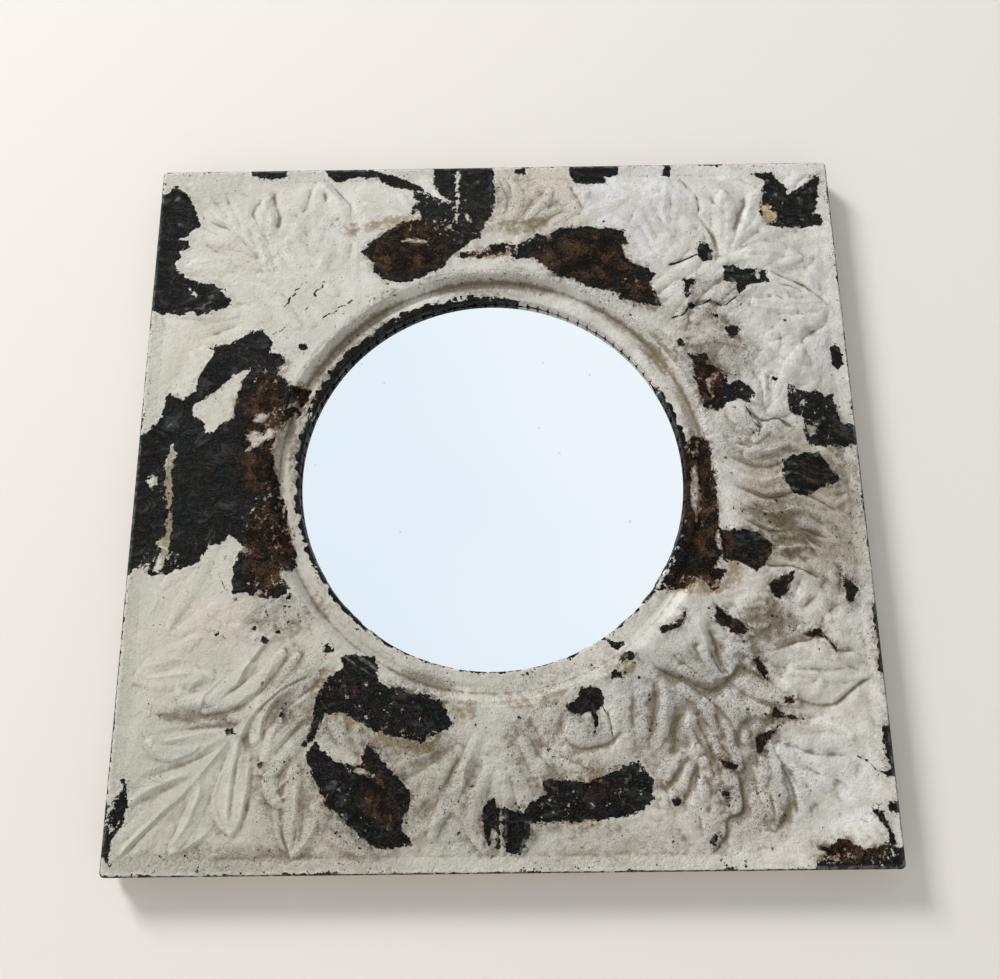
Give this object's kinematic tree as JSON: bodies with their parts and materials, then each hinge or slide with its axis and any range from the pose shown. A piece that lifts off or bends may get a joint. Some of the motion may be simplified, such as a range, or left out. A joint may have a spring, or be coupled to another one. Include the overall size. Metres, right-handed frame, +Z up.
{
  "type": "wall mirror",
  "caption": "Square wall mirror: a round glass behind an embossed, chipped cream-painted tin panel folded over a pine frame, with a dust cover and D-ring hangers.",
  "frame": {"origin": "bottom centre of the bounding box", "axes": "+Z up as hung, the tin faces -Y, the wall is on the +Y side"},
  "size_m": [0.6112, 0.0474, 0.6112],
  "materials": {
    "painted_tin": "chipped cream paint over blue-black paint and rust, matt to satin",
    "mirror": "silvered float glass",
    "hardboard": "brown hardboard",
    "pine": "bare pine",
    "felt": "felt",
    "screw_brass": "dull brass-plated",
    "hanger_steel": "zinc-plated",
    "nail_steel": "dark steel"
  },
  "bodies": {
    "frame": {"tin_panel": "painted_tin", "mirror_glass": "mirror", "mirror_backer": "hardboard", "glass_blocks": "pine", "rail_left": "pine", "rail_right": "pine", "rail_bottom": "pine", "rail_top": "pine", "batten_left": "pine", "batten_right": "pine", "corner_block_lower_left": "pine", "corner_block_lower_right": "pine", "corner_block_upper_right": "pine", "corner_block_upper_left": "pine", "dust_cover": "hardboard", "felt_pads": "felt", "flange_nails_left": "nail_steel", "flange_nails_right": "nail_steel", "flange_nails_bottom": "nail_steel", "flange_nails_top": "nail_steel", "corner_nails": "nail_steel", "batten_nails": "nail_steel", "backer_pins": "nail_steel", "cover_screws": "screw_brass", "hanger_screws_left": "screw_brass", "hanger_screws_right": "screw_brass", "hanger_strap_left": "hanger_steel", "hanger_strap_right": "hanger_steel"},
    "ring_left": {"hanger_ring_left": "hanger_steel"},
    "ring_right": {"hanger_ring_right": "hanger_steel"}
  },
  "joints": [
    {"name": "hanger_ring_left_swing", "type": "hinge", "parent": "frame", "child": "ring_left", "pos_m": [-0.29425, 0.02025, 0.4956], "axis": [1, 0, 0], "range_deg": [0, 180]},
    {"name": "hanger_ring_right_swing", "type": "hinge", "parent": "frame", "child": "ring_right", "pos_m": [0.29425, 0.02025, 0.4956], "axis": [1, 0, 0], "range_deg": [0, 180]}
  ]
}
